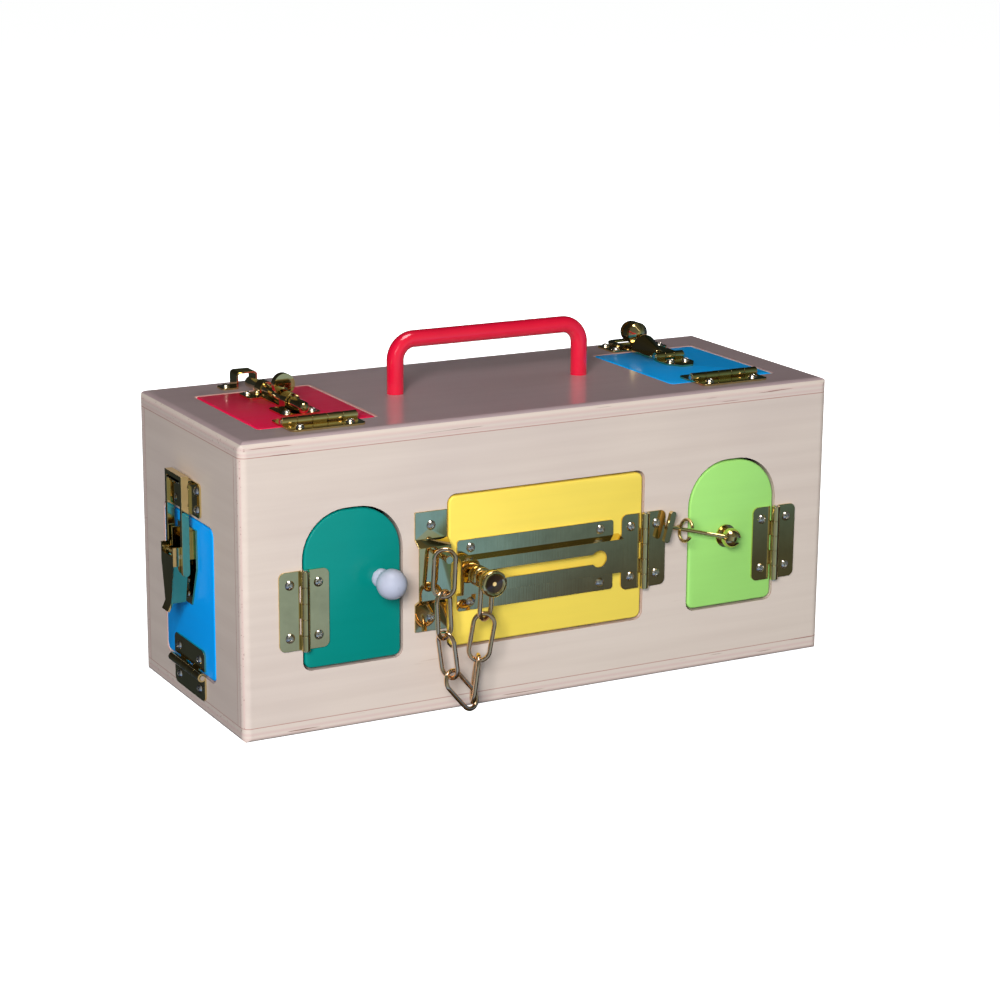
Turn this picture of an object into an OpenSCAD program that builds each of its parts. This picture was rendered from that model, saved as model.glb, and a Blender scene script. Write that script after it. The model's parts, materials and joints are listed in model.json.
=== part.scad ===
// Latch lock box: a plywood box with six small doors, each on a butt hinge and with its own kind of latch.
// Origin at the middle of the underside, +Z up, front towards -Y, end door towards -X. Millimetres.

/* [Box] */
// Outside width, end to end
box_w = 420; // [410:1:500]
// Outside depth, front to back
box_d = 166; // [160:1:220]
// Outside height without the handle
box_h = 187; // [180:1:240]
// Thickness of the walls and of the top board
wall_t = 10; // [9:0.5:14]
// Thickness of the base board
base_t = 9; // [8:0.5:12]
// Rounding of the upright and upper outer edges
edge_r = 5; // [3:0.5:7]
// Rounding of the lower outer edges
foot_r = 2.5; // [1:0.5:4]

/* [Doors] */
// Thickness of each door
door_t = 9; // [8:0.5:9]
// Saw gap all round a door
door_gap = 1.5; // [1.3:0.1:2]
// Corner radius of the openings
corner_r = 6; // [4:0.5:8]
// Height of the openings in the front wall
front_h = 100; // [94:1:110]
// Lower edge of the front openings above the ground
front_z = 40; // [36:1:46]
// Width of the two arched openings
arch_w = 67.5; // [62:0.5:70]
// Radius of the arched heads
arch_r = 30; // [24:0.5:31]
// Middle of an arched opening from the middle of the box
arch_x = 137; // [134:1:144]
// Width of the middle opening
mid_w = 142.5; // [136:0.5:146]
// Middle of the middle opening, from the middle of the box
mid_x = -1.5; // [-3:0.5:0]
// Size of a top opening along the box
top_w = 81; // [70:1:90]
// Size of a top opening across the box
top_d = 104; // [96:1:106]
// Corner radius of the top openings
top_r = 3; // [2:0.5:6]
// Middle of a top opening from the middle of the box
top_x = 146; // [140:1:150]
// Front edge of the top openings from the front of the box
top_inset = 27.5; // [25:0.5:32]
// Width of the opening in the end wall
end_w = 83; // [70:1:100]
// Height of the opening in the end wall
end_h = 100; // [96:1:110]
// Lower edge of the end opening above the ground
end_z = 24; // [23:1:34]
// Middle of the end opening behind the middle of the box
end_back = 1.75; // [0:0.25:4]

/* [Hinges] */
// Length of each butt hinge
hinge_l = 50; // [46:1:54]
// Width of a leaf from the pin's axis
leaf_w = 16.5; // [14:0.5:17]
// Corner radius of a leaf
leaf_r = 4; // [2:0.5:5]
// Outside diameter of the knuckles
barrel_d = 5.6; // [5:0.1:7]
// Diameter of the hinge pins
pin_d = 3; // [2:0.1:3.4]
// Number of knuckles on a hinge
knuckles = 5; // [3:2:7]
// Middle of an arched door's hinge above the lower edge of its opening
arch_hinge_up = 39.5; // [36:0.5:42]
// Screw distance from the pin's axis
leaf_screw_u = 9.5; // [8.5:0.5:11]
// Screw distance from the middle of the hinge
leaf_screw_v = 16.7; // [14:0.1:19]

/* [Sheet metal and screws] */
// Thickness of the pressed hardware
sheet_t = 1.2; // [1:0.1:1.5]
// Diameter of the screw heads
head_d = 6.2; // [5:0.1:7]
// Height of the domed screw heads
head_h = 2; // [1.5:0.1:2.5]
// Diameter of the screw shanks
screw_d = 2.6; // [2:0.1:3]
// Length of the screws under the head
screw_l = 8; // [6:0.5:8.5]

/* [Handle] */
// Distance between the middles of the handle's legs
handle_span = 135; // [110:1:150]
// Height of the handle above the top board
handle_h = 40; // [34:1:60]
// Diameter of the handle's bar
handle_d = 11; // [9:0.5:14]
// Bend radius on the middle of the bar
handle_bend = 13; // [10:0.5:18]
// Diameter of the handle's screws
handle_screw_d = 4; // [3:0.5:5]

/* [Round knob and magnetic catch] */
// Diameter of the knob's ball
ball_d = 19; // [16:0.5:22]
// Knob distance from the free edge of its opening
ball_in = 15; // [13:0.5:20]
// Knob height above the lower edge of its opening
ball_up = 52.7; // [46:0.5:58]
// Middle of the magnetic catch above the lower edge of its opening
catch_up = 25; // [18:1:40]

/* [Door chain] */
// Middle of the track above the lower edge of its opening
track_up = 47; // [44:0.5:52]
// Length of the track's flanges
track_l = 112.5; // [104:0.5:115]
// Gap between the track and the hinge leaf beside it
track_room = 1.75; // [1:0.25:4]
// Height of the track's flanges
track_h = 46; // [40:1:50]
// Width of the raised channel
channel_w = 24; // [20:0.5:26]
// Height of the raised channel above the door
channel_out = 7; // [6:0.5:8]
// Width of the slot
slot_w = 6.5; // [6:0.1:7.5]
// Diameter of the keyhole at the end of the slot
keyhole_d = 11; // [10:0.5:13]
// Travel of the slider along the slot
slide_travel = 86; // [70:1:88]
// Wire diameter of the chain links
link_wire = 2.9; // [2.4:0.1:3.1]
// Outside length of a link
link_l = 33; // [30:0.5:35]
// Outside width of a link
link_w = 16; // [15.5:0.5:18]
// Diameter of the slider's neck that carries the chain
neck_d = 6; // [5:0.5:6.5]
// Diameter of the slider's knob
slider_d = 17; // [14:0.5:20]
// Height of the slider's knob
knob_h = 6; // [4:0.5:8]
// Diameter of the anchor's stud
stud_d = 3.5; // [3:0.1:4]
// Width of the anchor plate
anchor_w = 22; // [18:0.5:24]
// Reach of the anchor plate below its stud
anchor_below = 51; // [46:1:56]
// Reach of the anchor plate above its stud
anchor_above = 26; // [22:1:30]
// Height of the anchor plate's raised middle
anchor_rise = 7; // [5:0.5:8]

/* [Swing hook] */
// Middle of the hook's ball, left of the middle of its door
hook_left = 4.5; // [2:0.5:8]
// Middle of the hook's ball above the lower edge of its opening
hook_up = 48.5; // [44:0.5:54]
// Upward slope of the hook's arm
hook_slope = 15.5; // [10:0.5:18]
// Diameter of the ball
hook_ball_d = 13; // [12:0.5:15]
// Diameter of the arm
hook_wire = 2.4; // [2:0.1:2.8]
// Distance from the ball to the ring
eye_reach = 38; // [37:0.5:40]
// Outside diameter of the ring
eye_d = 16.5; // [14:0.5:18]
// Length of the finger bar
tee_l = 21; // [16:0.5:24]

/* [Slide bolt] */
// Diameter of the bolt's rod
bolt_d = 7.5; // [6:0.5:9]
// Length of the bolt's plate
bolt_plate_l = 72; // [66:1:74]
// Width of the plate where it is screwed down
bolt_plate_w = 26; // [24:1:30]
// Diameter of the bolt's knob
bolt_knob_d = 14; // [11:0.5:16]
// Side play of the bolt in its keeper
keeper_play = 2.2; // [1:0.1:3]

/* [Hasp] */
// Axis of the strap's hinge in front of the rear edge of the opening
hasp_fore = 35; // [30:1:40]
// Width of the hasp's leaf
hasp_w = 22; // [20:0.5:26]
// Length of the hasp's leaf from the hinge's axis
hasp_tip = 25; // [22:1:30]
// Width of the strap
strap_w = 26; // [24:0.5:30]
// Length of the turn knob in front of its neck
turn_nose = 9; // [8:0.5:9.5]
// Length of the turn knob behind its neck
turn_tail = 12; // [10:0.5:13]
// Diameter of the turn knob
turn_d = 15; // [12:0.5:16]
// Radius of the strap's pressed hood
hood_r = 10; // [7:0.5:11]
// Length of the strap's pressed hood
hood_l = 20; // [16:1:24]

/* [Toggle latch] */
// Height of the lever's pin above the lower edge of the end opening
pivot_up = 76; // [72:1:78]
// Length of the lever below its pin
lever_l = 31; // [28:1:36]
// Width of the lever
lever_w = 20; // [18:0.5:22]
// Height of the lever's pin above the door
pivot_out = 9.5; // [9:0.5:11]
// Width of the latch's base plate
latch_plate_w = 30; // [28:0.5:34]
// Reach of the base plate below the lever's pin
latch_below = 33; // [30:1:36]
// Reach of the base plate above the lever's pin
latch_above = 17; // [14:1:19]
// Width of the bail's arms
bail_w = 3; // [2.5:0.1:3.5]
// Depth of the bail's arms
bail_t = 5; // [4:0.2:5.4]
// Reach of the bail above the end opening
bail_over = 26; // [22:1:30]
// Width of the latch's keeper
latch_keeper_w = 46; // [42:1:50]

/* [Hidden] */
$fn = 48;
wood = [0.86, 0.78, 0.7];
brass = [0.72, 0.6, 0.3];
steel = [0.85, 0.85, 0.83];
eps = 0.01;

// Corner radius of the small plates
plate_r = 3;

// Clearances
pin_fit = 0.05;
screw_fit = 0.05;
hole_fit = 0.2;
run_gap = 0.3;
loose_gap = 0.5;
knuckle_gap = 0.4;

// Doors as face, middle, lower edge, width, height, lower and upper corner radius
top_y = -box_d/2 + top_inset;
end_x = -end_back;
teal = ["front", -arch_x, front_z, arch_w, front_h, corner_r, arch_r];
yellow = ["front", mid_x, front_z, mid_w, front_h, corner_r, corner_r];
lime = ["front", arch_x, front_z, arch_w, front_h, corner_r, arch_r];
red = ["top", -top_x, top_y, top_w, top_d, top_r, top_r];
blue = ["top", top_x, top_y, top_w, top_d, top_r, top_r];
end = ["end", end_x, end_z, end_w, end_h, corner_r, corner_r];
function door_face(d) = d[0];
function door_x(d) = d[1];
function door_y(d) = d[2];
function door_w(d) = d[3];
function door_h(d) = d[4];
function door_low_r(d) = d[5];
function door_high_r(d) = d[6];

// Hinges as face, place of the pin's axis and turn; the door lies on the hinge's own +X side
half_gap = door_gap/2;
track_y = front_z + track_up;
teal_hinge = ["front", -arch_x - arch_w/2 + half_gap, front_z + arch_hinge_up, 0];
yellow_hinge = ["front", mid_x + mid_w/2 - half_gap, track_y, 180];
lime_hinge = ["front", arch_x + arch_w/2 - half_gap, front_z + arch_hinge_up, 180];
red_hinge = ["top", -top_x, top_y + half_gap, 90];
blue_hinge = ["top", top_x, top_y + half_gap, 90];
end_hinge = ["end", end_x, end_z + half_gap, 90];
HINGES = [teal_hinge, yellow_hinge, lime_hinge, red_hinge, blue_hinge, end_hinge];
hinge_lift = 0.2;
axis_out = barrel_d/2 + hinge_lift;
leaf_inner = barrel_d/2 + knuckle_gap;
knuckle_l = (hinge_l - (knuckles - 1)*knuckle_gap)/knuckles;
pin_tip = 0.8;
function hinge_sites(h, side) = [for (s = [-1, 1])
    [h[1] + side*leaf_screw_u*cos(h[3]) - s*leaf_screw_v*sin(h[3]),
     h[2] + side*leaf_screw_u*sin(h[3]) + s*leaf_screw_v*cos(h[3])]];

// Round knob and catch
ball_x = door_x(teal) + arch_w/2 - ball_in;
ball_y = front_z + ball_up;
ball_foot_d = 12;
ball_foot_h = 1.5;
ball_waist = 4;
ball_neck_d = 9;
ball_neck_l = 6;
ball_out = ball_d/2 + ball_neck_l;
knob_screw_d = 4;
knob_screw_in = 9;
catch_edge = door_x(teal) + arch_w/2;
catch_y = front_z + catch_up;
catch_h = 16;
catch_d = 11;
catch_on_wall = 20;
catch_behind = 12;
strike_w = 12;
magnet_w = 7;
magnet_d = 6;
strike_back = door_t + sheet_t;

// Track, slider and chain
channel_over = 4.5;
channel_x1 = yellow_hinge[1] - leaf_w - track_room;
track_x1 = channel_x1 - channel_over;
track_x0 = track_x1 - track_l;
channel_t = 1.4;
slot_in = 13;
slot_x0 = track_x0 + slot_in;
slot_x1 = slot_x0 + slide_travel;
track_screw_u = 9.5;
track_screw_v = 5.5;
track_sites = [for (x = [track_x0 + track_screw_u, track_x1 - track_screw_u], s = [-1, 1])
    [x, track_y + s*(track_h/2 - track_screw_v)]];
flange_play = 0.8;
flange_d = keyhole_d - flange_play;
flange_t = 2;
neck_play = 0.9;
slot_neck_d = slot_w - neck_play;
slider_edge = 0.8;
slider_rim = 2;
dish = 0.8;
collar_d = 13;
collar_h = 4;
collar_out = channel_out + run_gap;
link_gap = 0.5;
link_pitch_l = link_l - link_wire;
link_half = (link_w - link_wire)/2;
chain_leans = [-3, -11, -8, -140, -172, -177, -183];
chain_twists = [30, -25, 68, -25, 68, -25, 30];
links = len(chain_leans);
link_spread = link_half*sin(chain_twists[0]) + link_wire/2;
neck_out = collar_out + collar_h;
chain_out = neck_out + link_spread + run_gap;
slider_out = chain_out + link_spread + run_gap;
stud_play = 1.2;
function lean_dir(a) = [sin(a), -cos(a)];
function tucked(i) = i % 2 == 0 ? 0 : link_wire + link_gap;
function near_over(i) = i == 0 ? (neck_d + link_wire)/2 + link_gap : tucked(i);
function far_over(i) = i == links - 1 ? (stud_d + link_wire)/2 + stud_play : tucked(i);
function link_reach(i) = link_pitch_l - near_over(i) - far_over(i);
function chain_pivot(i) = i == 0 ? [slot_x0, track_y]
    : chain_pivot(i - 1) + link_reach(i - 1)*lean_dir(chain_leans[i - 1]);
stud_seat = [-0.6, -0.5];
stud = chain_pivot(links) + stud_seat;

// Anchor plate and the stud riveted into it
anchor_left = 1.5;
anchor_x = stud.x - anchor_left;
anchor_tab = 18;
anchor_y0 = stud.y - anchor_below;
anchor_y1 = stud.y + anchor_above;
anchor_slope = 4;
anchor_bend = 0.6;
stud_lip = 0.55;
stud_head_d = stud_d + 2*stud_lip;
stud_head_h = 2;
rivet_lip = 1.2;
rivet_h = 1;
anchor_sites = [[anchor_x, anchor_y0 + anchor_tab/2], [anchor_x, anchor_y1 - anchor_tab/2]];

// Swing hook, in a frame turned along the arm
hook_x = arch_x - hook_left;
hook_y = front_z + hook_up;
hook_out = 7;
hook_eye_t = 2.8;
hook_eye_r = 4.2;
hook_pin_d = 3;
hook_root = 2.4;
hook_stem_d = 4;
hook_stem_l = 7;
hook_foot_lip = 1;
hook_post_d = 10;
hook_cheek = 1.5;
tee_over = 11.5;
tee_x = eye_reach + tee_over;
tee_w = 4;
tee_t = 3;
eye_wire = 2.2;
eye_r = (eye_d - eye_wire)/2;
eye_stand = 1.2;
eye_out = eye_d/2 + eye_stand;
eye_stem_d = 3;
eye_stem_l = 7;
eye_gap = asin((hook_wire/2 + loose_gap + eye_wire/2)/eye_r);

// Slide bolt
rear_y = top_y + top_d;
bolt_out = sheet_t + run_gap + bolt_d/2;
bolt_rear_room = 6;
bolt_plate_y1 = rear_y - door_gap - bolt_rear_room;
bolt_plate_y0 = bolt_plate_y1 - bolt_plate_l;
bolt_spine_w = 8;
bolt_front_l = 24;
bolt_rear_l = 18;
guide_l = 9;
guide_play = 0.4;
guide_r = bolt_d/2 + guide_play;
guide_front_y = bolt_plate_y0 + bolt_front_l - guide_l;
guide_rear_y = bolt_plate_y1 - bolt_rear_l;
bolt_head = 5;
bolt_y0 = bolt_plate_y0 - bolt_head;
bolt_over = 4;
bolt_y1 = rear_y + bolt_over;
bolt_tip = 1.5;
bolt_knob_t = 5;
bolt_knob_room = 3;
bolt_knob_y = guide_front_y + guide_l + bolt_knob_room + bolt_knob_t/2;
bolt_knob_out = 14;
keeper_room = 3.5;
keeper_y = bolt_y1 + keeper_room;
keeper_l = 12;
keeper_w = 34;
keeper_half = bolt_d/2 + keeper_play;
keeper_head = 0.8;
keeper_in_h = bolt_out + bolt_d/2 + keeper_head;
keeper_r = 2.5;
bolt_screw_u = 8.5;
bolt_screw_in = 5;
keeper_screw_u = 12.5;
bolt_sites = [for (s = [-1, 1], y = [bolt_plate_y0 + bolt_screw_in, bolt_plate_y1 - bolt_screw_in])
    [-top_x + s*bolt_screw_u, y]];
keeper_sites = [for (s = [-1, 1]) [-top_x + s*keeper_screw_u, keeper_y + keeper_l/2]];

// Hasp
hasp_y = rear_y - hasp_fore;
hasp_shoulder = 15;
hasp_nose = 4;
hasp_t = 1.4;
hasp_lift = 0.4;
hasp_rise = sheet_t + hasp_lift;
turn_behind = 10;
turn_y = rear_y + turn_behind;
slot_room = 3;
slot_side = 0.75;
strap_bar = 5;
hasp_slot_y0 = turn_y - turn_nose - slot_room;
hasp_slot_y1 = turn_y + turn_tail + slot_room;
hasp_slot_w = turn_d + 2*slot_side;
strap_end = hasp_slot_y1 + strap_bar;
hood_tip_r = 3;
hood_back = 1;
hood_y1 = hasp_slot_y0 - hood_back;
turn_neck_d = 6;
turn_out = hasp_rise + hasp_t + loose_gap + turn_d/2;
turn_tip_d = 6;
turn_waist_d = turn_d - 3;
turn_band = 5;
turn_groove = 2;
staple_screw_u = 17.5;
staple_screw_v = 7;
staple_lip = 5;
staple_w = 2*(staple_screw_u + staple_lip);
staple_edge = 4;
staple_l = 2*(staple_screw_v + staple_edge);
staple_room = 1.5;
staple_y = rear_y + staple_room + staple_l/2;
hasp_knuckle_l = (hasp_w - 2*knuckle_gap)/3;
hasp_screw_u = 6;
hasp_screw_v = 12;
hasp_sites = [for (s = [-1, 1]) [top_x + s*hasp_screw_u, hasp_y - hasp_screw_v]];
staple_sites = [for (s = [-1, 1], t = [-1, 1]) [top_x + s*staple_screw_u, staple_y + t*staple_screw_v]];

// Toggle latch, in a frame on the middle line of the end opening
pivot_y = end_z + pivot_up;
lever_top = 6;
lever_straight = 6;
lever_tip_w = 10;
lever_curl = 6;
lever_wall = 1.4;
lever_low = 4.5;
ear_t = 1.5;
ear_r = 3.2;
lever_out = pivot_out + ear_r + run_gap + lever_wall;
ear_x = lever_w/2 - lever_wall - loose_gap - ear_t;
cheek_drop = 1.5;
cheek_out = pivot_out - cheek_drop;
cheek_above = 15;
latch_pin_d = 3;
bail_drop = 10;
bail_in = 2.5;
bail_pin_d = 2.6;
bail_x = lever_w/2 + loose_gap + bail_w/2;
bail_top = end_z + end_h + bail_over;
bail_y = pivot_y - bail_drop;
bail_out = pivot_out - bail_in;
latch_plate_y0 = pivot_y - latch_below;
latch_plate_y1 = pivot_y + latch_above;
latch_tip_w = 12;
latch_taper = 25;
latch_screw_low = 6;
latch_screw_high = 15;
keeper_gap = 2;
latch_keeper_y0 = end_z + end_h + keeper_gap;
ledge_reach = 3;
ledge_out = bail_out + ledge_reach;
ledge_top = bail_top - bail_w/2 - loose_gap;
ledge_t = 3;
ledge_drop = 0.6;
ledge_nose = 1.5;
latch_keeper_screw_u = 18.5;
latch_keeper_screw_v = 5;
latch_sites = [for (v = [latch_screw_low, latch_screw_high]) [end_x, latch_plate_y0 + v]];
latch_keeper_ys = [latch_keeper_y0 + latch_keeper_screw_v, ledge_top - latch_keeper_screw_v];
latch_keeper_sites = [for (s = [-1, 1], y = latch_keeper_ys) [end_x + s*latch_keeper_screw_u, y]];

// Places on the faces of the box: x to the right, y up or back, z out of the face
module on_face(face, x, y) {
    if (face == "front") translate([x, -box_d/2, y]) rotate([90, 0, 0]) children();
    if (face == "top") translate([x, y, box_h]) children();
    if (face == "end") translate([-box_w/2, -x, y]) rotate([90, 0, -90]) children();
}

module at_hinge(h) {
    on_face(h[0], h[1], h[2]) rotate([0, 0, h[3]]) children();
}

// Flat outlines
module rounded(w, h, r_low, r_high) {
    translate([-w/2, r_low]) square([w, h - r_low - r_high]);
    translate([-w/2 + r_low, 0]) square([w - 2*r_low, h/2]);
    translate([-w/2 + r_high, h/2]) square([w - 2*r_high, h/2]);
    for (s = [-1, 1]) {
        translate([s*(w/2 - r_low), r_low]) circle(r_low);
        translate([s*(w/2 - r_high), h - r_high]) circle(r_high);
    }
}

module door_outline(d, inset) {
    translate([door_x(d), door_y(d) + inset])
        rounded(door_w(d) - 2*inset, door_h(d) - 2*inset, door_low_r(d) - inset, door_high_r(d) - inset);
}

// Screws, and the holes they go into
module screw() {
    dome_r = (pow(head_d/2, 2) + pow(head_h, 2))/(2*head_h);
    rotate_extrude() intersection() {
        translate([0, head_h - dome_r]) circle(dome_r);
        square([head_d, head_h]);
    }
    translate([0, 0, -screw_l]) cylinder(d = screw_d, h = screw_l + eps);
}

module screws(face, sites) {
    color(steel) for (p = sites) on_face(face, p.x, p.y) translate([0, 0, sheet_t]) screw();
}

module pilot_holes(face, sites) {
    for (p = sites) on_face(face, p.x, p.y) translate([0, 0, sheet_t - screw_l])
        cylinder(d = screw_d + 2*screw_fit, h = screw_l);
}

module plate_holes(face, sites) {
    for (p = sites) on_face(face, p.x, p.y) translate([0, 0, -1])
        cylinder(d = screw_d + 2*hole_fit, h = sheet_t + 2);
}

// Box
module envelope() {
    intersection() {
        translate([0, -box_d/2, 0]) linear_extrude(box_h) rounded(box_w, box_d, edge_r, edge_r);
        translate([0, box_d/2, 0]) rotate([90, 0, 0]) linear_extrude(box_d)
            rounded(box_w, box_h, foot_r, edge_r);
        translate([-box_w/2, 0, 0]) rotate([90, 0, 90]) linear_extrude(box_w)
            rounded(box_d, box_h, foot_r, edge_r);
    }
}

module board(low, size) {
    color(wood) intersection() {
        envelope();
        translate(low) cube(size);
    }
}

module opening(d) {
    on_face(door_face(d), 0, 0) translate([0, 0, -wall_t - 1]) linear_extrude(wall_t + 2) door_outline(d, 0);
}

wall_h = box_h - base_t - wall_t;

module front_panel() {
    difference() {
        board([-box_w/2, -box_d/2, base_t], [box_w, wall_t, wall_h]);
        for (d = [teal, yellow, lime]) opening(d);
        for (h = [teal_hinge, yellow_hinge, lime_hinge]) pilot_holes("front", hinge_sites(h, -1));
        pilot_holes("front", anchor_sites);
        at_hook() translate([eye_reach, 0, -eye_stem_l])
            cylinder(d = eye_stem_d + 2*screw_fit, h = eye_stem_l + 1);
    }
}

module back_panel() {
    board([-box_w/2, box_d/2 - wall_t, base_t], [box_w, wall_t, wall_h]);
}

module left_end_panel() {
    difference() {
        board([-box_w/2, -box_d/2 + wall_t, base_t], [wall_t, box_d - 2*wall_t, wall_h]);
        opening(end);
        pilot_holes("end", hinge_sites(end_hinge, -1));
        pilot_holes("end", latch_keeper_sites);
    }
}

module right_end_panel() {
    board([box_w/2 - wall_t, -box_d/2 + wall_t, base_t], [wall_t, box_d - 2*wall_t, wall_h]);
}

module top_panel() {
    difference() {
        board([-box_w/2, -box_d/2, box_h - wall_t], [box_w, box_d, wall_t]);
        for (d = [red, blue]) opening(d);
        for (h = [red_hinge, blue_hinge]) pilot_holes("top", hinge_sites(h, -1));
        pilot_holes("top", keeper_sites);
        pilot_holes("top", staple_sites);
        for (s = [-1, 1]) on_face("top", s*handle_span/2, 0) translate([0, 0, -wall_t - 1])
            cylinder(d = handle_screw_d + 2*hole_fit, h = wall_t + 2);
    }
}

module base_panel() {
    board([-box_w/2, -box_d/2, 0], [box_w, box_d, base_t]);
}

// Carrying handle
handle_screw_in = 14;
handle_head_d = 8;
handle_head_h = 2.4;

module handle() {
    bar_z = handle_h - handle_d/2;
    color([0.9, 0.06, 0.16]) on_face("top", 0, 0) difference() {
        union() {
            for (s = [-1, 1]) {
                translate([s*handle_span/2, 0, 0]) cylinder(d = handle_d, h = bar_z - handle_bend);
                translate([s*(handle_span/2 - handle_bend), 0, bar_z - handle_bend])
                    rotate([90, 0, s > 0 ? 0 : 180]) rotate_extrude(angle = 90)
                        translate([handle_bend, 0]) circle(d = handle_d);
            }
            translate([-handle_span/2 + handle_bend, 0, bar_z]) rotate([0, 90, 0])
                cylinder(d = handle_d, h = handle_span - 2*handle_bend);
        }
        for (s = [-1, 1]) translate([s*handle_span/2, 0, -1])
            cylinder(d = handle_screw_d + 2*screw_fit, h = handle_screw_in + 1.5);
    }
}

module handle_screws() {
    color(steel) for (s = [-1, 1]) on_face("top", s*handle_span/2, 0) translate([0, 0, -wall_t]) {
        cylinder(d = handle_screw_d, h = wall_t + handle_screw_in);
        translate([0, 0, -handle_head_h]) cylinder(d = handle_head_d, h = handle_head_h);
    }
}

// Butt hinges
module leaf_plan() {
    w = leaf_w - leaf_inner;
    translate([0, -hinge_l/2]) square([w - leaf_r, hinge_l]);
    translate([w/2, -hinge_l/2 + leaf_r]) square([w/2, hinge_l - 2*leaf_r]);
    for (s = [-1, 1]) translate([w - leaf_r, s*(hinge_l/2 - leaf_r)]) circle(leaf_r);
}

module knuckle(k) {
    translate([0, -hinge_l/2 + k*(knuckle_l + knuckle_gap), 0]) {
        translate([0, 0, axis_out]) rotate([-90, 0, 0]) cylinder(d = barrel_d, h = knuckle_l);
        cube([leaf_inner + 1, knuckle_l, sheet_t]);
    }
}

module leaf(first) {
    color(brass) difference() {
        union() {
            translate([leaf_inner, 0, 0]) linear_extrude(sheet_t) leaf_plan();
            for (k = [first:2:knuckles - 1]) knuckle(k);
        }
        translate([0, -hinge_l/2 - 1, axis_out]) rotate([-90, 0, 0])
            cylinder(d = pin_d + 2*pin_fit, h = hinge_l + 2);
        for (s = [-1, 1]) translate([leaf_screw_u, s*leaf_screw_v, -1])
            cylinder(d = screw_d + 2*hole_fit, h = sheet_t + 2);
    }
}

module frame_hinge_leaves() {
    for (h = HINGES) at_hinge(h) mirror([1, 0, 0]) leaf(0);
}

module hinge_pins() {
    color(steel) for (h = HINGES) at_hinge(h) translate([0, -hinge_l/2 - pin_tip, axis_out])
        rotate([-90, 0, 0]) cylinder(d = pin_d, h = hinge_l + 2*pin_tip);
}

module frame_screws() {
    for (h = HINGES) screws(h[0], hinge_sites(h, -1));
    screws("front", anchor_sites);
    screws("top", keeper_sites);
    screws("top", staple_sites);
    screws("end", latch_keeper_sites);
}

module teal_hinge_leaf() {
    at_hinge(teal_hinge) leaf(1);
}

module yellow_hinge_leaf() {
    at_hinge(yellow_hinge) leaf(1);
}

module lime_hinge_leaf() {
    at_hinge(lime_hinge) leaf(1);
}

module red_hinge_leaf() {
    at_hinge(red_hinge) leaf(1);
}

module blue_hinge_leaf() {
    at_hinge(blue_hinge) leaf(1);
}

module end_hinge_leaf() {
    at_hinge(end_hinge) leaf(1);
}

// Doors
module door_blank(d) {
    on_face(door_face(d), 0, 0) translate([0, 0, -door_t]) linear_extrude(door_t) door_outline(d, door_gap);
}

module teal_door() {
    color([0, 0.54, 0.49]) difference() {
        door_blank(teal);
        pilot_holes("front", hinge_sites(teal_hinge, 1));
        on_face("front", ball_x, ball_y) translate([0, 0, -door_t - 1])
            cylinder(d = knob_screw_d + 2*hole_fit, h = door_t + 2);
    }
}

module yellow_door() {
    color([0.96, 0.85, 0.35]) difference() {
        door_blank(yellow);
        pilot_holes("front", hinge_sites(yellow_hinge, 1));
        pilot_holes("front", track_sites);
    }
}

module lime_door() {
    color([0.6, 0.84, 0.47]) difference() {
        door_blank(lime);
        pilot_holes("front", hinge_sites(lime_hinge, 1));
        at_hook() translate([0, 0, -hook_stem_l])
            cylinder(d = hook_stem_d + 2*screw_fit, h = hook_stem_l + 1);
    }
}

module red_door() {
    color([0.75, 0.06, 0.2]) difference() {
        door_blank(red);
        pilot_holes("top", hinge_sites(red_hinge, 1));
        pilot_holes("top", bolt_sites);
    }
}

module blue_door() {
    color([0, 0.45, 0.75]) difference() {
        door_blank(blue);
        pilot_holes("top", hinge_sites(blue_hinge, 1));
        pilot_holes("top", hasp_sites);
    }
}

module end_door() {
    color([0, 0.55, 0.88]) difference() {
        door_blank(end);
        pilot_holes("end", hinge_sites(end_hinge, 1));
        pilot_holes("end", latch_sites);
    }
}

module yellow_screws() {
    screws("front", hinge_sites(yellow_hinge, 1));
    screws("front", track_sites);
}

module lime_screws() {
    screws("front", hinge_sites(lime_hinge, 1));
}

module red_screws() {
    screws("top", hinge_sites(red_hinge, 1));
    screws("top", bolt_sites);
}

module blue_screws() {
    screws("top", hinge_sites(blue_hinge, 1));
    screws("top", hasp_sites);
}

module end_screws() {
    screws("end", hinge_sites(end_hinge, 1));
    screws("end", latch_sites);
}

// Round knob, its screw and the magnetic catch behind the arched door
module teal_knob() {
    color([0.93, 0.92, 0.97]) on_face("front", ball_x, ball_y) difference() {
        rotate_extrude() {
            intersection() {
                translate([0, ball_out]) circle(d = ball_d);
                square([ball_d, ball_out + ball_d]);
            }
            polygon([[0, 0], [ball_foot_d/2, 0], [ball_foot_d/2, ball_foot_h], [ball_neck_d/2, ball_waist],
                [ball_neck_d/2, ball_out], [0, ball_out]]);
        }
        translate([0, 0, -1]) cylinder(d = knob_screw_d + 2*screw_fit, h = knob_screw_in + 1.5);
    }
}

module teal_screws() {
    screws("front", hinge_sites(teal_hinge, 1));
    color(steel) on_face("front", ball_x, ball_y) translate([0, 0, -door_t]) {
        cylinder(d = knob_screw_d, h = door_t + knob_screw_in);
        translate([0, 0, -head_h]) cylinder(d = handle_head_d, h = head_h);
    }
}

module teal_strike() {
    color(steel) on_face("front", catch_edge - door_gap - 2 - strike_w, catch_y - catch_h/2)
        translate([0, 0, -strike_back]) cube([strike_w, catch_h, sheet_t]);
}

module magnet_block(fit) {
    translate([-catch_behind + 2.5 - fit, -catch_h/2 + 3 - fit, -strike_back - run_gap - magnet_d - fit])
        cube([magnet_w + 2*fit, catch_h - 6 + 2*fit, magnet_d + 2*fit]);
}

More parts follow.
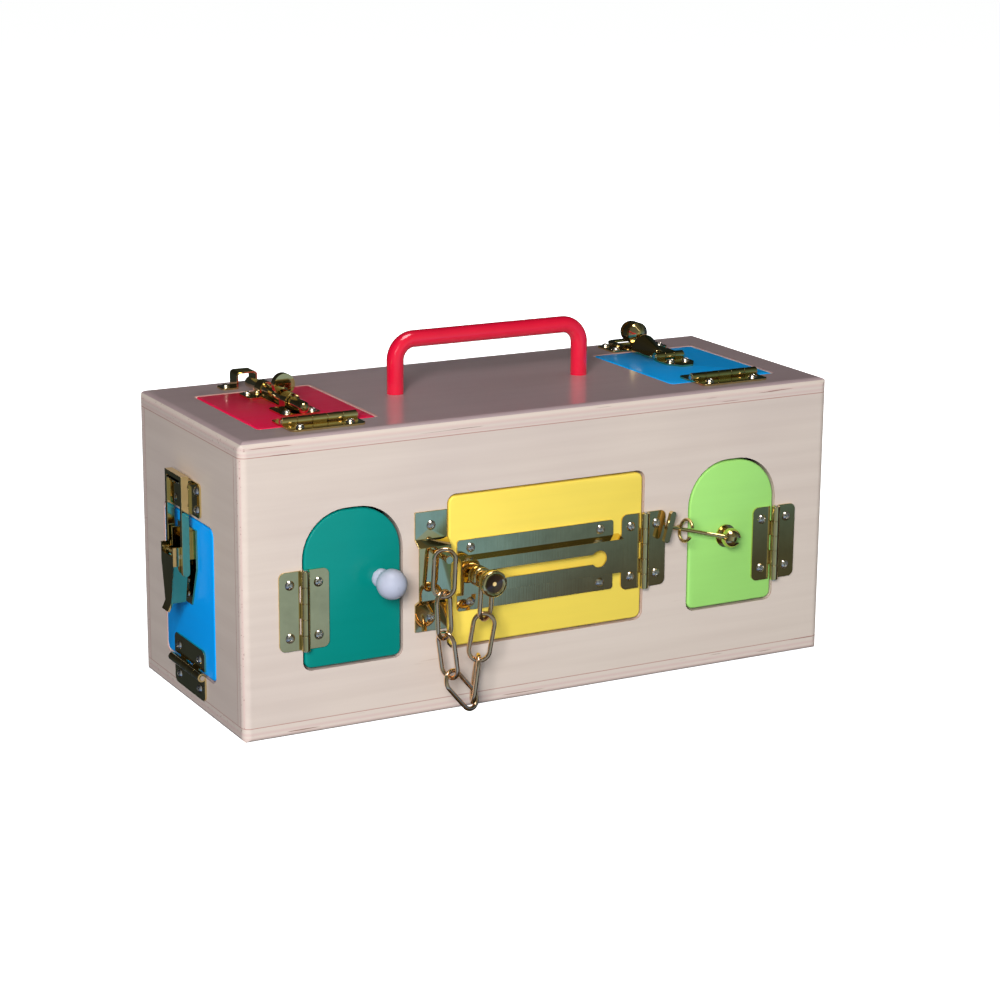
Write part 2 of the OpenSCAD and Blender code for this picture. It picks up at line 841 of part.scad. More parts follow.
module catch_case() {
    color([0.93, 0.92, 0.9]) on_face("front", catch_edge, catch_y) difference() {
        translate([-catch_behind, -catch_h/2, -wall_t - catch_d])
            cube([catch_behind + catch_on_wall, catch_h, catch_d]);
        translate([-catch_behind - 1, -catch_h, -strike_back - run_gap])
            cube([catch_behind + 1 + loose_gap, 2*catch_h, catch_d]);
        magnet_block(pin_fit);
    }
}

module catch_magnet() {
    color([0.25, 0.25, 0.27]) on_face("front", catch_edge, catch_y) magnet_block(0);
}

// Door chain
module chain_track() {
    flat_l = track_x1 - track_x0;
    low = channel_w/2 + 1.2;
    high = channel_w/2 - 1;
    color(brass) difference() {
        union() {
            on_face("front", track_x0 + flat_l/2, track_y - track_h/2) linear_extrude(sheet_t)
                rounded(flat_l, track_h, 2, 2);
            channel_bar(low, high, 0, channel_out);
        }
        channel_bar(low - channel_t, high - channel_t, -1, channel_out - channel_t);
        on_face("front", 0, track_y) translate([0, 0, channel_out - channel_t - 1])
            linear_extrude(channel_t + 2) {
            translate([slot_x0, 0]) circle(d = slot_w);
            translate([slot_x0, -slot_w/2]) square([slide_travel, slot_w]);
            translate([slot_x1, 0]) circle(d = keyhole_d);
        }
        plate_holes("front", track_sites);
    }
}

// A straight length with the raised channel's tapered section, from one depth to another
module channel_bar(low, high, z0, z1) {
    on_face("front", track_x0 - (z0 < 0 ? 1 : 0), track_y) rotate([90, 0, 90])
        linear_extrude(channel_x1 - track_x0 + (z0 < 0 ? 2 : 0))
        polygon([[-low, z0], [low, z0], [high, z1], [-high, z1]]);
}

module chain_slider() {
    inner_z = channel_out - channel_t - run_gap;
    front = slider_out + knob_h;
    knob_r = slider_d/2;
    collar_r = collar_d/2;
    color(brass) on_face("front", slot_x0, track_y) rotate_extrude() polygon([[0, inner_z - flange_t],
        [flange_d/2, inner_z - flange_t], [flange_d/2, inner_z], [slot_neck_d/2, inner_z],
        [slot_neck_d/2, collar_out], [collar_r - slider_edge, collar_out],
        [collar_r, collar_out + slider_edge],
        [collar_r, neck_out - slider_edge], [collar_r - slider_edge, neck_out], [neck_d/2, neck_out],
        [neck_d/2, slider_out], [knob_r - slider_edge, slider_out], [knob_r, slider_out + slider_edge],
        [knob_r, front - slider_edge], [knob_r - slider_edge, front], [knob_r - slider_rim, front],
        [knob_r - slider_rim - dish, front - dish], [0, front - dish]]);
}

module wire_link() {
    for (s = [-1, 1]) translate([link_half, s*link_half, 0]) rotate([0, 90, 0])
        cylinder(d = link_wire, h = link_pitch_l - 2*link_half);
    for (s = [0, 1]) translate([s == 0 ? link_half : link_pitch_l - link_half, 0, 0])
        rotate([0, 0, 90 + 180*s]) rotate_extrude(angle = 180)
            translate([link_half, 0]) circle(d = link_wire);
}

// The links are counted from the anchor; their places are worked out from the slider
module chain_link(n) {
    i = links - n;
    p = chain_pivot(i);
    color(brass) on_face("front", p.x, p.y) translate([0, 0, chain_out]) rotate([0, 0, chain_leans[i] - 90])
        rotate([-chain_twists[i], 0, 0]) translate([-near_over(i), 0, 0]) wire_link();
}

module chain_anchor() {
    h = anchor_y1 - anchor_y0;
    inner = anchor_rise - sheet_t;
    color(brass) difference() {
        on_face("front", anchor_x, anchor_y0) rotate([90, 0, 90]) translate([0, 0, -anchor_w/2])
            linear_extrude(anchor_w) polygon([[0, 0], [anchor_tab, 0], [anchor_tab + anchor_slope, inner],
                [h - anchor_tab - anchor_slope, inner], [h - anchor_tab, 0], [h, 0], [h, sheet_t],
                [h - anchor_tab + anchor_bend, sheet_t],
                [h - anchor_tab - anchor_slope + anchor_bend, anchor_rise],
                [anchor_tab + anchor_slope - anchor_bend, anchor_rise], [anchor_tab - anchor_bend, sheet_t],
                [0, sheet_t]]);
        on_face("front", stud.x, stud.y) cylinder(d = stud_d + 2*pin_fit, h = anchor_rise + 1);
        plate_holes("front", anchor_sites);
    }
}

module chain_stud() {
    inner = anchor_rise - sheet_t;
    color(brass) on_face("front", stud.x, stud.y) rotate_extrude() polygon([[0, inner - rivet_h],
        [stud_d/2 + rivet_lip, inner - rivet_h], [stud_d/2 + rivet_lip, inner], [stud_d/2, inner],
        [stud_d/2, slider_out], [stud_head_d/2, slider_out], [stud_head_d/2, slider_out + stud_head_h],
        [0, slider_out + stud_head_h]]);
}

// Swing hook with its ring
module at_hook() {
    on_face("front", hook_x, hook_y) rotate([0, 0, 180 - hook_slope]) children();
}

module hook_base() {
    color(brass) at_hook() {
        difference() {
            union() {
                translate([0, 0, hook_out]) sphere(d = hook_ball_d);
                cylinder(d = hook_ball_d + 2*hook_foot_lip, h = sheet_t);
                cylinder(d = hook_post_d, h = hook_out);
            }
            translate([-hook_ball_d, -hook_eye_t/2 - run_gap, hook_root])
                cube([2*hook_ball_d, hook_eye_t + 2*run_gap, 2*hook_ball_d]);
            translate([-hook_ball_d, -hook_ball_d, -hook_ball_d])
                cube([2*hook_ball_d, 2*hook_ball_d, hook_ball_d]);
        }
        translate([0, -hook_ball_d/2 + hook_cheek, hook_out]) rotate([-90, 0, 0])
            cylinder(d = hook_pin_d, h = hook_ball_d - 2*hook_cheek);
        translate([0, 0, -hook_stem_l]) cylinder(d = hook_stem_d, h = hook_stem_l + 1);
    }
}

module hook_arm() {
    color(brass) at_hook() translate([0, 0, hook_out]) difference() {
        union() {
            translate([0, -hook_eye_t/2, 0]) rotate([-90, 0, 0]) cylinder(r = hook_eye_r, h = hook_eye_t);
            rotate([0, 90, 0]) translate([0, 0, hook_pin_d]) cylinder(d = hook_wire, h = tee_x - hook_pin_d);
            translate([tee_x - tee_w/2, -tee_l/2 + tee_w/2, -tee_t/2]) cube([tee_w, tee_l - tee_w, tee_t]);
            for (s = [-1, 1]) translate([tee_x, s*(tee_l - tee_w)/2, -tee_t/2])
                cylinder(d = tee_w, h = tee_t);
        }
        translate([0, -hook_eye_t, 0]) rotate([-90, 0, 0])
            cylinder(d = hook_pin_d + 2*pin_fit, h = 2*hook_eye_t);
    }
}

module hook_eye() {
    color(brass) at_hook() translate([eye_reach, 0, 0]) {
        translate([0, 0, eye_out]) rotate([0, 90, 0]) rotate([0, 0, 180 + eye_gap])
            rotate_extrude(angle = 360 - 2*eye_gap) translate([eye_r, 0]) circle(d = eye_wire);
        translate([0, 0, -eye_stem_l]) cylinder(d = eye_stem_d, h = eye_stem_l + eye_out - eye_r);
    }
}

// Slide bolt
module bolt_arch(length) {
    rotate([90, 0, 180]) linear_extrude(length) difference() {
        union() {
            translate([0, bolt_out]) circle(r = guide_r + sheet_t);
            translate([-guide_r - sheet_t, 0]) square([2*(guide_r + sheet_t), bolt_out]);
        }
        translate([0, bolt_out]) circle(r = guide_r);
        translate([-guide_r, -1]) square([2*guide_r, bolt_out + 1]);
    }
}

module bolt_plate() {
    color(brass) difference() {
        on_face("top", -top_x, 0) {
            linear_extrude(sheet_t) {
                translate([0, bolt_plate_y0]) rounded(bolt_plate_w, bolt_front_l, plate_r, plate_r);
                translate([-bolt_spine_w/2, bolt_plate_y0 + plate_r])
                    square([bolt_spine_w, bolt_plate_l - 2*plate_r]);
                translate([0, guide_rear_y]) rounded(bolt_plate_w, bolt_rear_l, plate_r, plate_r);
            }
            for (y = [guide_front_y, guide_rear_y]) translate([0, y, 0]) bolt_arch(guide_l);
        }
        plate_holes("top", bolt_sites);
    }
}

module bolt_rod() {
    l = bolt_y1 - bolt_y0;
    color(brass) on_face("top", -top_x, 0) {
        translate([0, bolt_y0, bolt_out]) rotate([-90, 0, 0]) rotate_extrude() {
            intersection() {
                translate([0, bolt_d/2]) circle(d = bolt_d);
                square([bolt_d, bolt_d]);
            }
            polygon([[0, bolt_d/2], [bolt_d/2, bolt_d/2], [bolt_d/2, l - bolt_tip], [bolt_d/2 - bolt_tip, l],
                [0, l]]);
        }
        translate([0, bolt_knob_y, bolt_out]) cylinder(d = bolt_knob_t, h = bolt_knob_out - bolt_out);
        translate([0, bolt_knob_y - bolt_knob_t/2, bolt_knob_out]) rotate([-90, 0, 0])
            cylinder(d = bolt_knob_d, h = bolt_knob_t);
    }
}

// A strip bent into a flat-topped arch with a foot on each side
module bolt_keeper() {
    color(brass) difference() {
        on_face("top", -top_x, keeper_y) difference() {
            union() {
                linear_extrude(sheet_t) rounded(keeper_w, keeper_l, plate_r, plate_r);
                rotate([90, 0, 180]) linear_extrude(keeper_l)
                    rounded(2*(keeper_half + sheet_t), keeper_in_h + sheet_t, eps, keeper_r);
            }
            translate([0, -1, 0]) rotate([90, 0, 180]) linear_extrude(keeper_l + 2) translate([0, -1])
                rounded(2*keeper_half, keeper_in_h + 1, eps, keeper_r - sheet_t);
        }
        plate_holes("top", keeper_sites);
    }
}

// Hasp with its turn knob
module hasp_barrel(k) {
    translate([-hasp_w/2 + k*(hasp_knuckle_l + knuckle_gap), hasp_y, axis_out]) rotate([0, 90, 0])
        cylinder(d = barrel_d, h = hasp_knuckle_l);
}

module hasp_bore() {
    translate([-hasp_w, hasp_y, axis_out]) rotate([0, 90, 0]) cylinder(d = pin_d + 2*pin_fit, h = 2*hasp_w);
}

module hasp_leaf() {
    edge = hasp_y - leaf_inner;
    color(brass) difference() {
        on_face("top", top_x, 0) difference() {
            union() {
                linear_extrude(sheet_t) polygon([[-hasp_w/2, edge], [-hasp_w/2, hasp_y - hasp_shoulder],
                    [-hasp_nose, hasp_y - hasp_tip], [hasp_nose, hasp_y - hasp_tip],
                    [hasp_w/2, hasp_y - hasp_shoulder], [hasp_w/2, edge]]);
                for (k = [0, 2]) {
                    hasp_barrel(k);
                    translate([-hasp_w/2 + k*(hasp_knuckle_l + knuckle_gap), edge - 1, 0])
                        cube([hasp_knuckle_l, leaf_inner + 1, sheet_t]);
                }
            }
            hasp_bore();
        }
        plate_holes("top", hasp_sites);
    }
}

// Half of a cone that rises towards the turn knob
module strap_hood() {
    intersection() {
        translate([0, hood_y1, hasp_rise]) rotate([90, 0, 0])
            cylinder(r1 = hood_r, r2 = hood_tip_r, h = hood_l);
        translate([-hood_r, hood_y1 - hood_l, hasp_rise]) cube([2*hood_r, hood_l, hood_r]);
    }
}

module hasp_strap() {
    edge = hasp_y + leaf_inner;
    color(brass) on_face("top", top_x, 0) difference() {
        union() {
            translate([0, edge, hasp_rise]) linear_extrude(hasp_t)
                rounded(strap_w, strap_end - edge, plate_r, strap_w/3);
            strap_hood();
            hasp_barrel(1);
            translate([-hasp_knuckle_l/2, hasp_y, hasp_rise]) cube([hasp_knuckle_l, leaf_inner + 1, hasp_t]);
        }
        hasp_bore();
        translate([0, hasp_slot_y0, hasp_rise - 1]) linear_extrude(hasp_t + 2)
            rounded(hasp_slot_w, hasp_slot_y1 - hasp_slot_y0, plate_r, plate_r);
    }
}

module hasp_pin() {
    color(steel) on_face("top", top_x, 0) translate([-hasp_w/2 - pin_tip, hasp_y, axis_out])
        rotate([0, 90, 0]) cylinder(d = pin_d, h = hasp_w + 2*pin_tip);
}

module staple_plate() {
    color(brass) difference() {
        on_face("top", top_x, staple_y - staple_l/2) linear_extrude(sheet_t)
            rounded(staple_w, staple_l, plate_r, plate_r);
        on_face("top", top_x, turn_y) translate([0, 0, -1])
            cylinder(d = turn_neck_d + 2*pin_fit, h = sheet_t + 2);
        plate_holes("top", staple_sites);
    }
}

// A turned knob that lies along the strap: a short cone, a waist, a band and a dome
module turn_staple() {
    band = turn_band/2;
    waist = band + turn_groove;
    color(brass) on_face("top", top_x, turn_y) {
        translate([0, 0, run_gap/2]) cylinder(d = turn_neck_d, h = turn_out);
        translate([0, 0, turn_out]) rotate([90, 0, 0]) rotate_extrude() {
            polygon([[0, -waist], [turn_waist_d/2, -waist], [turn_waist_d/2, -band], [turn_d/2, -band],
                [turn_d/2, band], [turn_waist_d/2, band], [turn_waist_d/2, waist], [turn_d/2, waist],
                [turn_tip_d/2, turn_nose],
                [0, turn_nose]]);
            translate([0, -waist]) intersection() {
                scale([1, (turn_tail - waist)/(turn_d/2)]) circle(d = turn_d);
                translate([0, -turn_tail]) square([turn_d, turn_tail]);
            }
        }
    }
}

// Toggle latch
module on_latch() {
    on_face("end", end_x, 0) children();
}

module latch_base() {
    color(brass) difference() {
        on_latch() difference() {
            union() {
                linear_extrude(sheet_t) polygon([[-latch_plate_w/2, latch_plate_y1],
                    [-latch_plate_w/2, latch_plate_y0 + latch_taper], [-latch_tip_w/2, latch_plate_y0],
                    [latch_tip_w/2, latch_plate_y0], [latch_plate_w/2, latch_plate_y0 + latch_taper],
                    [latch_plate_w/2, latch_plate_y1]]);
                for (s = [-1, 1]) translate([s*(ear_x + ear_t/2) - ear_t/2, pivot_y, 0]) rotate([90, 0, 90])
                    linear_extrude(ear_t) {
                        translate([0, pivot_out]) circle(ear_r);
                        translate([-ear_r, 0]) square([2*ear_r, pivot_out]);
                        translate([-ear_r, 0]) square([ear_r + cheek_above, cheek_out]);
                    }
            }
            translate([-lever_w, pivot_y, pivot_out]) rotate([0, 90, 0])
                cylinder(d = latch_pin_d + 2*pin_fit, h = 2*lever_w);
        }
        plate_holes("end", latch_sites);
    }
}

// Outline of the lever; the hollow inside it runs out through the upper end
module lever_plan(inset, over) {
    w = lever_w/2 - inset;
    tip = lever_tip_w/2 - inset;
    low = pivot_y - lever_l + inset;
    polygon([[-w, pivot_y + lever_top + over], [-w, pivot_y - lever_straight], [-tip, low],
        [tip, low], [w, pivot_y - lever_straight], [w, pivot_y + lever_top + over]]);
}

module latch_lever() {
    inner_w = lever_w - 2*lever_wall;
    color(brass) on_latch() difference() {
        union() {
            translate([0, 0, lever_low]) linear_extrude(lever_out - lever_low) lever_plan(0, 0);
            translate([0, pivot_y - lever_l, lever_out - lever_wall]) rotate([-25, 0, 0])
                translate([-lever_tip_w/2, -lever_curl, 0]) cube([lever_tip_w, lever_curl + 1, lever_wall]);
        }
        translate([0, 0, lever_low - 1]) linear_extrude(lever_out - lever_wall - lever_low + 1)
            lever_plan(lever_wall, 1);
        translate([-inner_w/2, pivot_y, lever_low]) cube([inner_w, lever_top + 1, lever_out]);
        translate([-lever_w, pivot_y, pivot_out]) rotate([0, 90, 0])
            cylinder(d = latch_pin_d + 2*pin_fit, h = 2*lever_w);
        translate([-lever_w, bail_y, bail_out]) rotate([0, 90, 0])
            cylinder(d = bail_pin_d + 2*pin_fit, h = 2*lever_w);
    }
}

module latch_pin() {
    pin_over = run_gap/2;
    color(steel) on_latch() translate([-lever_w/2 - pin_over, pivot_y, pivot_out]) rotate([0, 90, 0])
        cylinder(d = latch_pin_d, h = lever_w + 2*pin_over);
}

// Two flat arms with round lower ends, a pin on each and a bar across the top
module latch_bail() {
    color(brass) on_latch() {
        for (s = [-1, 1]) {
            translate([s*bail_x - bail_w/2, bail_y, bail_out - bail_t/2])
                cube([bail_w, bail_top - bail_y, bail_t]);
            translate([s*bail_x - bail_w/2, bail_y, bail_out]) rotate([0, 90, 0])
                cylinder(d = bail_t, h = bail_w);
            translate([s > 0 ? lever_w/2 - lever_wall : -bail_x, bail_y, bail_out]) rotate([0, 90, 0])
                cylinder(d = bail_pin_d, h = bail_x - lever_w/2 + lever_wall);
        }
        translate([-bail_x - bail_w/2, bail_top - bail_w/2, bail_out - bail_t/2])
            cube([2*bail_x + bail_w, bail_w, bail_t]);
    }
}

// A plate whose upper edge is bent out into a ledge
module latch_keeper() {
    color(brass) difference() {
        on_latch() {
            translate([0, latch_keeper_y0, 0]) linear_extrude(sheet_t)
                rounded(latch_keeper_w, ledge_top - latch_keeper_y0, plate_r, plate_r);
            rotate([90, 0, 90]) translate([0, 0, -lever_w/2]) linear_extrude(lever_w)
                polygon([[ledge_top - ledge_t, 0], [ledge_top, 0], [ledge_top - ledge_drop, ledge_out],
                    [ledge_top - ledge_t, ledge_out - ledge_nose]]);
        }
        plate_holes("end", latch_keeper_sites);
    }
}

front_panel();
back_panel();
left_end_panel();
right_end_panel();
top_panel();
base_panel();
handle();
handle_screws();
frame_hinge_leaves();
hinge_pins();
frame_screws();
catch_case();
catch_magnet();
chain_anchor();
chain_stud();
hook_eye();
bolt_keeper();
staple_plate();
turn_staple();
latch_keeper();
teal_door();
teal_hinge_leaf();
teal_knob();
teal_strike();
teal_screws();
yellow_door();
yellow_hinge_leaf();
chain_track();
yellow_screws();
chain_slider();
chain_link(1);  // chain_link_1
chain_link(2);  // chain_link_2
chain_link(3);  // chain_link_3
chain_link(4);  // chain_link_4
chain_link(5);  // chain_link_5
chain_link(6);  // chain_link_6
chain_link(7);  // chain_link_7
lime_door();
lime_hinge_leaf();
hook_base();
lime_screws();
hook_arm();
red_door();
red_hinge_leaf();
bolt_plate();
red_screws();
bolt_rod();
blue_door();
blue_hinge_leaf();
hasp_leaf();
blue_screws();
hasp_strap();
hasp_pin();
end_door();
end_hinge_leaf();
latch_base();
end_screws();
latch_lever();
latch_pin();
latch_bail();
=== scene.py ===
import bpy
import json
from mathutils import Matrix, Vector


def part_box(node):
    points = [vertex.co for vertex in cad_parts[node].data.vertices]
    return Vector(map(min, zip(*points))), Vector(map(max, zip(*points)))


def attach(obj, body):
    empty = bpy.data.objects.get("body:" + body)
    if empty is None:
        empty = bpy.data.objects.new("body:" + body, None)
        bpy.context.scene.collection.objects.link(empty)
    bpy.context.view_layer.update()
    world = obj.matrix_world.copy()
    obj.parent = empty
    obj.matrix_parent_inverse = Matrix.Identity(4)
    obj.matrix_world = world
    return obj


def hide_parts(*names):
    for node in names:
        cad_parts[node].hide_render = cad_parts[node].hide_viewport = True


bl_info = {
    "name": "Latch lock box",
    "version": (1, 0, 0),
    "blender": (4, 5, 0),
    "location": "View3D > Sidebar > Lock box",
    "description": "Finishes for a plywood box of small doors and latches, and a stage to show it on",
    "category": "Object",
}

import json
import math

import bmesh
import bpy
from mathutils import Matrix, Vector

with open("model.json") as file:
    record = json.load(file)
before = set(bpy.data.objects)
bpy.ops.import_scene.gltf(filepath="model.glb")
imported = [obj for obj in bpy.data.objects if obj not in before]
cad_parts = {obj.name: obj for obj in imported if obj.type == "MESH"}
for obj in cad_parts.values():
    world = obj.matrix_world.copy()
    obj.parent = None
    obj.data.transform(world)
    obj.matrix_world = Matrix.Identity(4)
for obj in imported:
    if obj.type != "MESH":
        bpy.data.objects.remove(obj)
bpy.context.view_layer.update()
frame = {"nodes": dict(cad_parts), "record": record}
CAD_NODES = frame["nodes"]
RECORD = frame["record"]
BODY_OF = {node: body for body, nodes in RECORD["behaviour"]["bodies"].items() for node in nodes}

X, Y, Z = range(3)
WHITE = (1.0, 1.0, 1.0)

# Nodes by finish; round brass has no pressed edges to ease
BRASS_NODES = [part["node"] for part in RECORD["subparts"] if part["material_slot"] == "brass_plate"]
CHAIN_NODES = ["chain_link_%d" % k for k in range(1, 8)]
ROUND_BRASS = {"chain_slider", "chain_stud", "hook_base", "hook_arm", "hook_eye", "bolt_rod", "turn_staple",
               *CHAIN_NODES}
SCREW_NODES = ["%s_screws" % group for group in ("frame", "teal", "yellow", "lime", "red", "blue", "end")]
PLAIN_STEEL = ("handle_screws", "hinge_pins", "hasp_pin", "latch_pin", "teal_strike")

# Each board's axis of grain and axis of thickness
BOARDS = {
    "front_panel": (X, Y),
    "back_panel": (X, Y),
    "left_end_panel": (Y, X),
    "right_end_panel": (Y, X),
    "top_panel": (X, Z),
    "base_panel": (X, Z),
}

# Each door's paint, axis of thickness, and whether its head is an arch
DOORS = {
    "teal_door": ("teal", Y, True),
    "yellow_door": ("yellow", Y, False),
    "lime_door": ("lime", Y, True),
    "red_door": ("red", Z, False),
    "blue_door": ("blue", Z, False),
    "end_door": ("sky", X, False),
}

# Joining a CAD mesh's loose triangles: the distance of points that are one, and the bend of a flat face
WELD = 1e-6
FLAT = math.radians(0.4)

# Bends that look sharp, on a piece and on a screw with its cross, and bends that are eased
SHARP = math.radians(38)
SCREW_SHARP = math.radians(30)
RIM_BEND = math.radians(60)
SHEET_BEND = math.radians(40)

# Facets of a rounded corner, an arch, a door's rim and the edge of pressed sheet
CORNER_STEPS = 6
ARCH_STEPS = 24
RIM_STEPS = 3
SHEET_STEPS = 2

# An edge through a door is longer than this share of the door's thickness
CORNER_SHARE = 0.9

# The cross in a wood screw's head; half of its depth lies above the head, and its turn is in radians
CROSS_LENGTH = 0.0036
CROSS_DEPTH = 0.0022
CROSS_TURN = 0.6

# A longer screw is the knob's own, whose head is inside the box
WOOD_SCREW_MAX = 0.015

# The slider's rim and its dark face, by their depth behind the rim's front; the face looks along -Y
RIM_DEPTH = 0.0003
FACE_NEAR = 0.0004
FACE_FAR = 0.0012
FACE_NORMAL_Y = -0.9

# A painted highlight on that face, a gold spot for the lamp's glint in its dish: radii of its gold and of
# its soft edge, and the radius at the ramp's end
GLINT_R = 0.0011
GLINT_EDGE_R = 0.0015
GLINT_SPAN = 0.01
PAINTED_GLINT_GOLD = (0.85, 0.6, 0.25)

# How much a board's layers colour its edges
LAYER_SHARE = 0.75

# An edge of a board has less than this of its normal along the thickness
EDGE_NORMAL = 0.7

# Paint hides part of the grain below it
PAINT_GRAIN = 0.5

# The camera's sensor in millimetres, and half the floor's width in metres
SENSOR_WIDTH = 36.0
FLOOR_HALF = 40.0

# Each lamp's place, its width, and whether it only shows as a bright spot in what is polished
LAMPS = {
    "key": ((-1.55, -2.10, 1.12), 1.0, False),
    "back": ((0.7, 2.3, 0.35), 1.4, False),
    "side": ((2.3, 0.5, 0.4), 1.4, False),
    "glint": ((-1.55, -2.10, 1.12), 0.7, True),
    "shine": ((-0.3, -0.5, 2.4), 1.1, True),
}
LAMP_AIM = Vector((0, 0, 0.1))

# The room that the brass mirrors: colours by height, which falls to the right, by side and by depth
ROOM_LEAN = -0.4
ROOM_REACH = 1.0
ROOM_LEANING_REACH = 1.5
ROOM_BY_HEIGHT = [
    (-1.4, (0.05, 0.045, 0.03)),
    (-0.6, (0.1, 0.08, 0.06)),
    (-0.487, (0.19, 0.15, 0.2)),
    (-0.46, (0.3, 0.46, 1.0)),
    (-0.40, (0.3, 0.46, 0.95)),
    (-0.25, (0.3, 0.4, 0.55)),
    (0.1, (0.3, 0.33, 0.36)),
    (0.5, (0.16, 0.16, 0.17)),
    (1.4, (0.2, 0.2, 0.2)),
]
ROOM_BY_SIDE = [
    (-1, (0.75, 0.85, 1)),
    (0.3, (0.97, 0.95, 0.66)),
    (0.40, (0.97, 0.95, 0.66)),
    (0.43, (0.68, 1, 1)),
    (0.45, (0.66, 0.88, 0.75)),
    (0.475, (0.42, 0.46, 0.34)),
    (0.51, (0.36, 0.42, 0.28)),
    (0.56, (0.36, 0.54, 0.38)),
    (0.65, (0.4, 0.5, 0.5)),
    (1, (0.5, 0.5, 0.5)),
]
ROOM_BY_DEPTH = [
    (-1, WHITE),
    (-0.6, WHITE),
    (0.1, (0.16, 0.16, 0.17)),
    (1, (0.1, 0.1, 0.1)),
]


def srgb(r, g, b):
    """Turns a display colour of 0 to 255 into the linear colour that the shader takes."""
    def one(c):
        c /= 255.0
        return c / 12.92 if c <= 0.04045 else ((c + 0.055) / 1.055) ** 2.4
    return (one(r), one(g), one(b))


def colour(name, text, rgb):
    """A colour setting, given as a display colour."""
    return bpy.props.FloatVectorProperty(name=name, description=text, subtype="COLOR", size=3, min=0, max=1,
                                         default=srgb(*rgb))


def number(name, text, value, low, high, **kind):
    """A number setting, with its unit or subtype."""
    return bpy.props.FloatProperty(name=name, description=text, default=value, min=low, max=high, **kind)


def length(name, text, value, low, high):
    """A setting in metres."""
    return number(name, text, value, low, high, unit="LENGTH")


def angle(name, text, degrees):
    """A setting that is kept in radians and shown in degrees."""
    return number(name, text, math.radians(degrees), -math.pi, math.pi, subtype="ANGLE")


def power(name, text, value):
    """A lamp's power in watts."""
    return number(name, text, value, 0, 1000, unit="POWER")


class FinishSettings(bpy.types.PropertyGroup):
    """Colours of the boards, the paint and the metal."""
    birch: colour("Birch", "Face veneer of the boards", (219, 203, 191))
    birch_dark: colour("Birch grain", "Darker lines of the veneer", (212, 195, 183))
    ply_dark: colour("Ply layers", "Cross layers seen on the boards' edges", (214, 184, 176))
    glue: colour("Glue line", "Thin line at a board's joint", (176, 118, 106))
    # The top board's face colour: a darker veneer, and painted shade of the top, which the lamps in front
    # light less
    top_veneer_and_shade: colour("Top veneer and shade", "Darker face veneer of the top board", (180, 157, 159))
    teal: colour("Teal door", "Paint of the knob's door", (0, 136, 126))
    yellow: colour("Yellow door", "Paint of the chain's door", (250, 221, 92))
    lime: colour("Lime door", "Paint of the hook's door", (164, 224, 118))
    red: colour("Red door", "Paint of the bolt's door", (244, 20, 78))
    blue: colour("Blue door", "Paint of the hasp's door", (0, 172, 255))
    sky: colour("End door", "Paint of the toggle's door", (0, 164, 252))
    handle: colour("Handle", "Paint of the carrying handle", (220, 14, 52))
    knob: colour("Knob", "Colour of the round knob", (178, 181, 198))
    brass: colour("Brass", "Plated hardware", (238, 212, 148))
    chain: colour("Chain", "Plated wire of the chain", (246, 211, 172))
    dark_face: colour("Slider face", "Dark face of the chain's slider", (46, 34, 26))
    steel: colour("Steel", "Screws and pins", (246, 238, 224))
    catch: colour("Catch", "Case of the magnetic catch", (235, 232, 224))
    magnet: colour("Magnet", "Magnet of the catch", (60, 60, 64))


class DetailSettings(bpy.types.PropertyGroup):
    """Sizes of the worked edges and screws."""
    paint_edge: length("Painted edge", "Rounding of a door's edges", 0.0012, 0.0003, 0.003)
    sheet_edge: length("Sheet edge", "Rounding of the pressed hardware's edges", 0.00025, 0.0001, 0.0005)
    corner: length("Door corner", "Corner radius of a front or end door", 0.0045, 0.002, 0.008)
    top_corner: length("Top door corner", "Corner radius of a top door", 0.0015, 0.001, 0.004)
    arch: length("Arch", "Radius of an arched door's head", 0.0285, 0.02, 0.032)
    recess: length("Screw cross", "Width of the cross in a screw's head", 0.0009, 0.0004, 0.0015)
    grain: number("Grain depth", "Strength of the wood grain's bump", 0.12, 0, 0.6, subtype="FACTOR")


class StageSettings(bpy.types.PropertyGroup):
    """Camera, floor and lamps. A lamp's power stands under the name that LAMPS gives it."""
    azimuth: angle("Azimuth", "Side that the camera looks from", -28.39)
    elevation: angle("Elevation", "Height angle of the camera", 14.70)
    roll: angle("Roll", "Tilt of the picture", 0.43)
    distance: length("Distance", "Camera distance from its target", 1.724, 0.5, 5)
    target: bpy.props.FloatVectorProperty(name="Target", description="Point that the camera looks at",
                                          size=3, default=(0.0092, 0, 0.1075), subtype="XYZ")
    lens: number("Lens", "Focal length in millimetres", 94.0, 20, 200, unit="CAMERA")
    floor: colour("Floor", "Plain pale floor", (250, 250, 250))
    floor_glow: number("Floor glow", "Light of the floor itself", 0.92, 0, 4, subtype="FACTOR")
    key: power("Key lamp", "Power of the large lamp in front, at the left", 93)
    back: power("Back lamp", "Power of the low lamp behind", 44)
    side: power("Side lamp", "Power of the low lamp at the right", 40)
    glint: power("Glint lamp", "Power of the mirrored lamp in the key's place", 15)
    shine: power("Shine lamp", "Power of the mirrored lamp overhead", 24)


class LockBoxSettings(bpy.types.PropertyGroup):
    """All settings of the lock box."""
    finish: bpy.props.PointerProperty(type=FinishSettings)
    detail: bpy.props.PointerProperty(type=DetailSettings)
    stage: bpy.props.PointerProperty(type=StageSettings)


